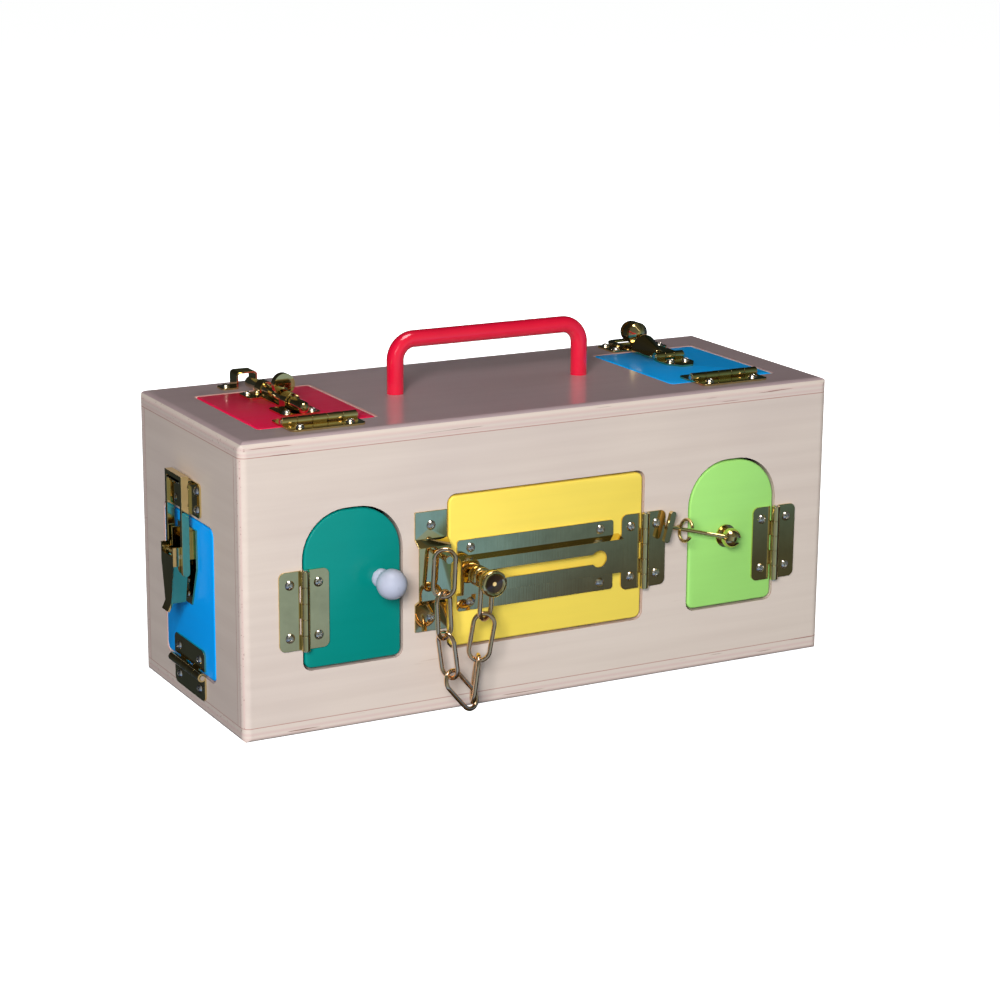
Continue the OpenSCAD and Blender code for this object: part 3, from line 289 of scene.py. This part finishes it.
class ShaderNodes:
    """Adds and links the nodes of one shader tree. A step's result is an output for the next to take."""

    # Colour sockets of the Mix node, whose names are not unique
    MIX_FACTOR, MIX_A, MIX_B, MIX_RESULT = 0, 6, 7, 2

    def __init__(self, tree):
        self.tree = tree

    def feed(self, value, socket):
        """Links an output to an input socket, or sets the input to a plain value."""
        if isinstance(value, bpy.types.NodeSocket):
            self.tree.links.new(value, socket)
        else:
            socket.default_value = value

    def add(self, kind, **inputs):
        """A new node. Its inputs are given by name, with _ for a space."""
        node = self.tree.nodes.new(kind)
        for name, value in inputs.items():
            self.feed(value, node.inputs[name.replace("_", " ")])
        return node

    def split(self, vector):
        """The three axes of a vector."""
        return self.add("ShaderNodeSeparateXYZ", Vector=vector).outputs

    def math(self, operation, *values):
        """One sum on numbers."""
        node = self.add("ShaderNodeMath")
        node.operation = operation
        for value, socket in zip(values, node.inputs):
            self.feed(value, socket)
        return node.outputs["Value"]

    def ramp(self, value, stops):
        """A colour ramp, from stops of a place and a colour."""
        node = self.add("ShaderNodeValToRGB", Fac=value)
        elements = node.color_ramp.elements
        while len(elements) < len(stops):
            elements.new(0.5)
        for element, (place, rgb) in zip(elements, stops):
            element.position = place
            element.color = (*rgb, 1.0)
        return node.outputs["Color"]

    def mix(self, blend, a, b, share):
        """Two colours mixed in Blender's way of that name."""
        node = self.add("ShaderNodeMix")
        node.data_type = "RGBA"
        node.blend_type = blend
        self.feed(share, node.inputs[self.MIX_FACTOR])
        for rgb, socket in ((a, node.inputs[self.MIX_A]), (b, node.inputs[self.MIX_B])):
            self.feed(rgb if isinstance(rgb, bpy.types.NodeSocket) else (*rgb, 1.0), socket)
        return node.outputs[self.MIX_RESULT]

    def times(self, a, b):
        """One colour multiplied by another."""
        return self.mix("MULTIPLY", a, b, 1.0)

    def between(self, a, b, share):
        """A colour between a, at a share of 0, and b, at 1."""
        return self.mix("MIX", a, b, share)


class Finish(ShaderNodes):
    """The nodes of one material, round a Principled shader. Patterns lie on the piece's own coordinates."""

    def __init__(self, name, **inputs):
        self.material = bpy.data.materials.new(name)
        self.material.use_nodes = True
        super().__init__(self.material.node_tree)
        self.tree.nodes.clear()
        self.shader = self.add("ShaderNodeBsdfPrincipled", **inputs)
        self.add("ShaderNodeOutputMaterial", Surface=self.shader.outputs["BSDF"])
        self.place = self.add("ShaderNodeTexCoord").outputs["Object"]

    def noise(self, stretch=(1.0, 1.0, 1.0), size=1.0, detail=3.0, rough=0.55):
        """A pattern of soft noise; a larger stretch or size makes it finer."""
        where = self.add("ShaderNodeMapping", Vector=self.place, Scale=stretch).outputs["Vector"]
        node = self.add("ShaderNodeTexNoise", Vector=where, Scale=size, Detail=detail, Roughness=rough)
        return node.outputs["Fac"]

    def colour(self, pattern):
        """Lets a pattern colour the surface."""
        self.feed(pattern, self.shader.inputs["Base Color"])

    def roughness(self, pattern, low, high):
        """Lets a pattern vary the roughness."""
        node = self.add("ShaderNodeMapRange", Value=pattern, To_Min=low, To_Max=high)
        self.feed(node.outputs["Result"], self.shader.inputs["Roughness"])

    def bump(self, pattern, strength, depth):
        """Lets a pattern raise the surface, by a depth in metres."""
        node = self.add("ShaderNodeBump", Height=pattern, Strength=strength, Distance=depth)
        self.feed(node.outputs["Normal"], self.shader.inputs["Normal"])


def streaks(axis, along, across):
    """The stretch of noise into lines along an axis: repeats in a metre along it and across it."""
    stretch = [across] * 3
    stretch[axis] = along
    return stretch


def scaled(rgb, share):
    """A colour made lighter or darker."""
    return tuple(c * share for c in rgb)


def birch_ply(name, finish, veneer, grain, along, across, low, thick):
    """Birch plywood: calm veneer along one axis, and layers across the board's thickness on its edges."""
    s = Finish(name, Coat_Weight=0.8, Coat_Roughness=0.16)
    light, dark = tuple(finish.birch), tuple(finish.birch_dark)
    layer, glue = tuple(finish.ply_dark), tuple(finish.glue)

    lines = s.noise(streaks(along, 5.0, 120.0), detail=4.0)
    flecks = s.noise(streaks(along, 28.0, 300.0), detail=2.0, rough=0.5)
    clouds = s.noise(size=7.0, rough=0.5)
    cloud = s.ramp(clouds, [
        (0.3, (0.94, 0.925, 0.93)), (0.5, (0.99, 0.98, 0.97)), (0.7, (1.0, 1.0, 0.985))])
    fleck = s.ramp(flecks, [(0.72, WHITE), (0.84, (0.84, 0.79, 0.76))])
    wood = s.times(s.times(s.ramp(lines, [(0.28, dark), (0.62, light)]), cloud), fleck)
    # On the top board the face colour also holds painted shade of the top; the edges keep the plain wood
    face = s.times(wood, tuple(v / c for v, c in zip(veneer, light)))

    depth = s.math("MULTIPLY", s.math("SUBTRACT", s.split(s.place)[across], low), 1.0 / thick)
    layers = s.ramp(depth, [
        (0.0, glue), (0.05, glue), (0.07, light), (0.22, layer), (0.38, light),
        (0.55, layer), (0.72, light), (0.93, light), (0.95, glue)])
    dashes = s.noise(streaks(along, 26.0, 900.0), detail=1.0, rough=0.4)
    voids = s.ramp(dashes, [(0.70, WHITE), (0.74, (0.5, 0.36, 0.33))])
    edge = s.times(s.between(wood, layers, LAYER_SHARE), voids)

    normal = s.add("ShaderNodeNewGeometry").outputs["Normal"]
    is_edge = s.math("LESS_THAN", s.math("ABSOLUTE", s.split(normal)[across]), EDGE_NORMAL)
    s.colour(s.between(face, edge, is_edge))
    s.roughness(lines, low=0.42, high=0.55)
    s.bump(lines, strength=grain, depth=0.0004)
    return s.material


def gloss_paint(name, rgb, grain, along):
    """Gloss paint on wood, with the grain just showing through."""
    s = Finish(name, Coat_Weight=0.25, Coat_Roughness=0.1, Specular_IOR_Level=0.35)
    lines = s.noise(streaks(along, 9.0, 170.0), detail=4.0)
    clouds = s.noise(size=22.0, detail=2.0, rough=0.5)
    shade = s.ramp(clouds, [(0.3, scaled(WHITE, 0.96)), (0.7, WHITE)])
    streak = s.ramp(lines, [(0.25, scaled(WHITE, 0.97)), (0.6, WHITE)])
    s.colour(s.times(s.times(tuple(rgb), shade), streak))
    s.roughness(lines, low=0.26, high=0.38)
    s.bump(lines, strength=grain * PAINT_GRAIN, depth=0.0003)
    return s.material


def polished_metal(name, rgb, tarnish, rough):
    """Polished plate with faint drawing lines and a little tarnish."""
    s = Finish(name, Metallic=1.0)
    lines = s.noise(streaks(Z, 40.0, 900.0), rough=0.6)
    clouds = s.noise(size=60.0, rough=0.6)
    s.colour(s.ramp(clouds, [(0.3, scaled(rgb, tarnish)), (0.62, tuple(rgb))]))
    s.roughness(lines, low=rough * 0.75, high=rough * 1.35)
    s.bump(lines, strength=0.03, depth=0.0002)
    return s.material


def plain_gloss(name, rgb, rough, coat, speck):
    """Gloss plastic or enamel with a trace of unevenness."""
    s = Finish(name, Coat_Weight=coat, Coat_Roughness=0.08)
    clouds = s.noise(size=45.0, rough=0.5)
    s.colour(s.ramp(clouds, [(0.3, scaled(rgb, speck)), (0.65, tuple(rgb))]))
    s.roughness(clouds, low=rough * 0.8, high=rough * 1.25)
    s.bump(clouds, strength=0.04, depth=0.0003)
    return s.material


def painted_glint_face(name, rgb, middle):
    """A dark glossy face with a painted highlight, a gold spot with a slight bump, at a middle of x and z.
    """
    s = Finish(name, Coat_Weight=0.6, Coat_Roughness=0.08)
    place = s.split(s.place)
    square = [s.math("POWER", s.math("SUBTRACT", place[axis], at), 2.0) for axis, at in zip((X, Z), middle)]
    away = s.math("MULTIPLY", s.math("SQRT", s.math("ADD", *square)), 1.0 / GLINT_SPAN)
    # Painted highlight: a gold spot in the middle of the dark face, standing for the lamp's glint in the
    # dish
    s.colour(s.ramp(away, [(GLINT_R / GLINT_SPAN, PAINTED_GLINT_GOLD), (GLINT_EDGE_R / GLINT_SPAN, tuple(rgb))]))
    s.roughness(s.noise(size=300.0), low=0.12, high=0.22)
    s.bump(away, strength=0.3, depth=0.0004)
    return s.material


def pale_floor(name, rgb, glow):
    """A matt floor that is a little bright by itself."""
    s = Finish(name, Roughness=0.9, Specular_IOR_Level=0.1, Emission_Color=(*WHITE, 1.0),
               Emission_Strength=glow)
    clouds = s.noise(size=2.0, detail=2.0, rough=0.5)
    s.colour(s.ramp(clouds, [(0.2, scaled(rgb, 0.99)), (0.8, tuple(rgb))]))
    return s.material


def dress(node, material):
    """Gives a CAD node its finish."""
    data = CAD_NODES[node].data
    data.materials.clear()
    data.materials.append(material)


def finished(name, bm, material, node):
    """Makes the bmesh an object that stands for a CAD node and rides on the node's body."""
    bmesh.ops.recalc_face_normals(bm, faces=bm.faces)
    mesh = bpy.data.meshes.new(name)
    bm.to_mesh(mesh)
    bm.free()
    mesh.materials.append(material)
    obj = bpy.data.objects.new(name, mesh)
    bpy.context.scene.collection.objects.link(obj)
    mesh.shade_smooth()
    mesh.set_sharp_from_angle(angle=SHARP)
    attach(obj, BODY_OF[node])
    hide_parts(node)
    return obj


def merged(node):
    """A copy of a CAD node's mesh with its loose triangles joined, those of a flat face into one."""
    bm = bmesh.new()
    bm.from_mesh(CAD_NODES[node].data)
    bmesh.ops.remove_doubles(bm, verts=bm.verts, dist=WELD)
    bmesh.ops.dissolve_limit(bm, angle_limit=FLAT, verts=bm.verts, edges=bm.edges)
    return bm


def rounded(bm, edges, radius, steps):
    """Rounds edges of a bmesh."""
    bmesh.ops.bevel(bm, geom=edges, offset=radius, affect="EDGES", segments=steps, profile=0.5, material=-1)


def solid_boxes(bm):
    """The lowest and highest corners of each separate solid in a bmesh."""
    seen = set()
    for first in bm.verts:
        if first in seen:
            continue
        seen.add(first)
        points, todo = [], [first]
        while todo:
            vert = todo.pop()
            points.append(vert.co)
            for edge in vert.link_edges:
                other = edge.other_vert(vert)
                if other not in seen:
                    seen.add(other)
                    todo.append(other)
        yield (Vector([min(p[i] for p in points) for i in range(3)]),
               Vector([max(p[i] for p in points) for i in range(3)]))


class LOCKBOX_OT_boards(bpy.types.Operator):
    """Gives the six boards their birch plywood"""
    bl_idname = "lockbox.boards"
    bl_label = "Boards"

    def execute(self, context):
        st = context.scene.lockbox
        for node, (along, across) in BOARDS.items():
            lo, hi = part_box(node)
            # The top board's face gets its darker veneer and painted shade of the top
            veneer = st.finish.top_veneer_and_shade if node == "top_panel" else st.finish.birch
            thick = hi[across] - lo[across]
            dress(node, birch_ply("birch_" + node, st.finish, veneer, st.detail.grain, along, across,
                                  lo[across], thick))
        return {"FINISHED"}


class LOCKBOX_OT_doors(bpy.types.Operator):
    """Makes the six painted doors with eased edges"""
    bl_idname = "lockbox.doors"
    bl_label = "Doors"

    def execute(self, context):
        st = context.scene.lockbox
        for node, (paint, flat, arched) in DOORS.items():
            bm = self.board(node, flat, arched, st.detail)
            grain = Y if flat == X else X
            mat = gloss_paint(paint + "_paint", getattr(st.finish, paint), st.detail.grain, grain)
            finished("painted_" + node, bm, mat, node)
        return {"FINISHED"}

    def board(self, node, flat, arched, detail):
        """A door's board, in the box of its CAD node."""
        lo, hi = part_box(node)
        size = hi - lo
        middle = (lo + hi) / 2
        fit = Matrix.Translation(middle) @ Matrix.Diagonal((*size, 1))
        bm = bmesh.new()
        bmesh.ops.create_cube(bm, size=1.0)
        bmesh.ops.transform(bm, matrix=fit, verts=bm.verts)

        def corners(upper=None):
            """The edges through the door's thickness: all, or those of its upper or its lower half."""
            found = []
            for e in bm.edges:
                a, b = (v.co for v in e.verts)
                if abs(a[flat] - b[flat]) > CORNER_SHARE * size[flat]:
                    if upper is None or ((a.z + b.z) / 2 > middle.z) == upper:
                        found.append(e)
            return found

        if arched:
            rounded(bm, corners(upper=False), detail.corner, CORNER_STEPS)
            rounded(bm, corners(upper=True), detail.arch, ARCH_STEPS)
        else:
            rounded(bm, corners(), detail.top_corner if flat == Z else detail.corner, CORNER_STEPS)
        rim = [e for e in bm.edges if e.is_manifold and e.calc_face_angle(0) > RIM_BEND]
        rounded(bm, rim, detail.paint_edge, RIM_STEPS)
        return bm


class LOCKBOX_OT_brass(bpy.types.Operator):
    """Makes the brass-plated hardware, with its pressed edges eased"""
    bl_idname = "lockbox.brass"
    bl_label = "Brass hardware"

    def execute(self, context):
        st = context.scene.lockbox
        plate = polished_metal("brass_plate", st.finish.brass, tarnish=0.86, rough=0.05)
        wire = polished_metal("chain_plate", st.finish.chain, tarnish=0.9, rough=0.07)
        for node in BRASS_NODES:
            mat = wire if node in CHAIN_NODES else plate
            obj = finished("brass_" + node, merged(node), mat, node)
            if node == "chain_slider":
                self.dark_face(obj, st.finish.dark_face)
            if node not in ROUND_BRASS:
                self.ease(obj, st.detail.sheet_edge)
        return {"FINISHED"}

    def ease(self, obj, radius):
        """Rounds the edges of pressed sheet, with its flat faces left flat."""
        ease = obj.modifiers.new("Eased edges", "BEVEL")
        ease.width = radius
        ease.segments = SHEET_STEPS
        ease.limit_method = "ANGLE"
        ease.angle_limit = SHEET_BEND
        ease.harden_normals = True

    def dark_face(self, obj, rgb):
        """Darkens the dished face of the slider inside its rim, with a painted highlight, a bright gold
        spot, in its middle.
        """
        front = min(v.co.y for v in obj.data.vertices)
        rim = [v.co for v in obj.data.vertices if v.co.y < front + RIM_DEPTH]
        middle = [(min(p[i] for p in rim) + max(p[i] for p in rim)) / 2 for i in (X, Z)]
        obj.data.materials.append(painted_glint_face("slider_face", rgb, middle))
        for face in obj.data.polygons:
            if face.normal.y < FACE_NORMAL_Y and front + FACE_NEAR < face.center.y < front + FACE_FAR:
                face.material_index = 1


class LOCKBOX_OT_screws(bpy.types.Operator):
    """Makes the screws, with a cross in each domed head"""
    bl_idname = "lockbox.screws"
    bl_label = "Screws and pins"

    def execute(self, context):
        st = context.scene.lockbox
        mat = polished_metal("bright_steel", st.finish.steel, tarnish=0.9, rough=0.2)
        for node in PLAIN_STEEL:
            dress(node, mat)
        for node in SCREW_NODES:
            bm = merged(node)
            tool = self.crosses(bm, st.detail.recess)
            self.cut(finished("crossed_" + node, bm, mat, node), tool)
        return {"FINISHED"}

    def crosses(self, bm, width):
        """One cutter for all heads of a node: two thin blocks on each wood screw."""
        tool = bmesh.new()
        for lo, hi in solid_boxes(bm):
            size = hi - lo
            axis = max(range(3), key=lambda i: size[i])
            if size[axis] > WOOD_SCREW_MAX:
                continue
            head = (lo + hi) / 2
            head[axis] = hi[axis] if axis == Z else lo[axis]
            at_head = Matrix.Translation(head) @ Matrix.Rotation(CROSS_TURN, 4, "XYZ"[axis])
            flat = [i for i in range(3) if i != axis]
            for long, short in (flat, flat[::-1]):
                block = Vector((0, 0, 0))
                block[axis] = CROSS_DEPTH
                block[long] = CROSS_LENGTH
                block[short] = width
                bmesh.ops.create_cube(tool, size=1.0, matrix=at_head @ Matrix.Diagonal((*block, 1)))
        return tool

    def cut(self, obj, tool):
        """Takes the tool's shape out of a piece, for good."""
        mesh = bpy.data.meshes.new("cutter")
        tool.to_mesh(mesh)
        tool.free()
        cutter = bpy.data.objects.new("cutter", mesh)
        bpy.context.scene.collection.objects.link(cutter)
        mod = obj.modifiers.new("Cross", "BOOLEAN")
        mod.operation = "DIFFERENCE"
        mod.solver = "EXACT"
        mod.use_self = True
        mod.object = cutter
        bpy.context.view_layer.update()
        done = bpy.data.meshes.new_from_object(obj.evaluated_get(bpy.context.evaluated_depsgraph_get()))
        obj.modifiers.clear()
        obj.data = done
        bpy.data.objects.remove(cutter)
        done.shade_smooth()
        done.set_sharp_from_angle(angle=SCREW_SHARP)


class LOCKBOX_OT_fittings(bpy.types.Operator):
    """Gives the handle, the round knob and the magnetic catch their finishes"""
    bl_idname = "lockbox.fittings"
    bl_label = "Handle, knob and catch"

    def execute(self, context):
        finish = context.scene.lockbox.finish
        enamel = plain_gloss("red_enamel", finish.handle, rough=0.22, coat=1.0, speck=0.94)
        lacquer = plain_gloss("knob_lacquer", finish.knob, rough=0.45, coat=0.15, speck=0.96)
        finished("smooth_handle", merged("handle"), enamel, "handle")
        finished("smooth_teal_knob", merged("teal_knob"), lacquer, "teal_knob")
        dress("catch_case", plain_gloss("catch_plastic", finish.catch, rough=0.5, coat=0.0, speck=0.95))
        dress("catch_magnet", plain_gloss("magnet", finish.magnet, rough=0.55, coat=0.0, speck=0.85))
        return {"FINISHED"}


class LOCKBOX_OT_stage(bpy.types.Operator):
    """Makes the camera, the pale floor, the lamps and the room that the brass mirrors"""
    bl_idname = "lockbox.stage"
    bl_label = "Stage"

    def execute(self, context):
        st = context.scene.lockbox.stage
        self.camera(context.scene, st)
        self.floor(st)
        for name, (place, width, mirrored) in LAMPS.items():
            self.lamp(name, place, width, getattr(st, name), mirrored)
        self.room(context.scene)
        context.scene.view_settings.view_transform = "Standard"
        return {"FINISHED"}

    def camera(self, scene, st):
        """The camera at the photograph's angle, with the picture turned by the roll."""
        a, e, r = st.azimuth, st.elevation, st.roll
        back = Vector((math.sin(a) * math.cos(e), -math.cos(a) * math.cos(e), math.sin(e)))
        right = (-back).cross(Vector((0, 0, 1))).normalized()
        up = right.cross(-back)
        right, up = math.cos(r) * right + math.sin(r) * up, math.cos(r) * up - math.sin(r) * right
        cam = bpy.data.objects.new("camera", bpy.data.cameras.new("camera"))
        cam.data.lens = st.lens
        cam.data.sensor_width = SENSOR_WIDTH
        turn = Matrix((right, up, back)).transposed().to_4x4()
        cam.matrix_world = Matrix.Translation(Vector(st.target) + back * st.distance) @ turn
        scene.collection.objects.link(cam)
        scene.camera = cam

    def floor(self, st):
        """A wide floor that is seen, but neither lights the box nor shows in its polish."""
        bm = bmesh.new()
        bmesh.ops.create_grid(bm, x_segments=1, y_segments=1, size=FLOOR_HALF)
        mesh = bpy.data.meshes.new("floor")
        bm.to_mesh(mesh)
        bm.free()
        mesh.materials.append(pale_floor("pale_floor", st.floor, st.floor_glow))
        floor = bpy.data.objects.new("floor", mesh)
        bpy.context.scene.collection.objects.link(floor)
        floor.visible_diffuse = floor.visible_glossy = floor.visible_shadow = False

    def lamp(self, name, place, width, power, mirrored):
        """A soft lamp that either lights the box or only shows as a bright spot in what is polished."""
        data = bpy.data.lights.new(name, "AREA")
        data.size = width
        data.energy = power
        lamp = bpy.data.objects.new(name, data)
        turn = (LAMP_AIM - Vector(place)).to_track_quat("-Z", "Y").to_matrix().to_4x4()
        lamp.matrix_world = Matrix.Translation(place) @ turn
        lamp.visible_camera = False
        lamp.visible_glossy = mirrored
        lamp.visible_diffuse = not mirrored
        bpy.context.scene.collection.objects.link(lamp)

    def room(self, scene):
        """A dim room for the brass to mirror: pale and cool low in front, dark behind and underneath."""
        world = bpy.data.worlds.new("studio")
        world.use_nodes = True
        s = ShaderNodes(world.node_tree)
        side, depth, height = s.split(s.add("ShaderNodeTexCoord").outputs["Generated"])
        leaning = s.math("MULTIPLY_ADD", side, ROOM_LEAN, height)

        def tones(value, reach, stops):
            """A colour ramp over a value of -reach to reach."""
            spread = s.add("ShaderNodeMapRange", Value=value, From_Min=-reach, From_Max=reach)
            shares = [((place + reach) / (2 * reach), rgb) for place, rgb in stops]
            return s.ramp(spread.outputs["Result"], shares)

        by_height = tones(leaning, ROOM_LEANING_REACH, ROOM_BY_HEIGHT)
        by_side = tones(side, ROOM_REACH, ROOM_BY_SIDE)
        by_depth = tones(depth, ROOM_REACH, ROOM_BY_DEPTH)
        s.feed(s.times(s.times(by_height, by_side), by_depth), s.tree.nodes["Background"].inputs["Color"])
        scene.world = world


class LOCKBOX_PT_panel(bpy.types.Panel):
    """Lists the lock box's settings and steps"""
    bl_idname = "LOCKBOX_PT_panel"
    bl_label = "Lock box"
    bl_space_type = "VIEW_3D"
    bl_region_type = "UI"
    bl_category = "Lock box"

    def draw(self, context):
        st = context.scene.lockbox
        for group in (st.finish, st.detail, st.stage):
            box = self.layout.box()
            for key in group.__annotations__:
                box.prop(group, key)
        for step in STEPS:
            self.layout.operator(step.bl_idname)


STEPS = (
    LOCKBOX_OT_boards,
    LOCKBOX_OT_doors,
    LOCKBOX_OT_brass,
    LOCKBOX_OT_screws,
    LOCKBOX_OT_fittings,
    LOCKBOX_OT_stage,
)
CLASSES = (FinishSettings, DetailSettings, StageSettings, LockBoxSettings, *STEPS, LOCKBOX_PT_panel)


def register():
    for c in CLASSES:
        bpy.utils.register_class(c)
    bpy.types.Scene.lockbox = bpy.props.PointerProperty(type=LockBoxSettings)


def unregister():
    del bpy.types.Scene.lockbox
    for c in reversed(CLASSES):
        bpy.utils.unregister_class(c)


def main():
    register()
    bpy.ops.lockbox.boards()
    bpy.ops.lockbox.doors()
    bpy.ops.lockbox.brass()
    bpy.ops.lockbox.screws()
    bpy.ops.lockbox.fittings()
    bpy.ops.lockbox.stage()


if __name__ == "__main__":
    main()
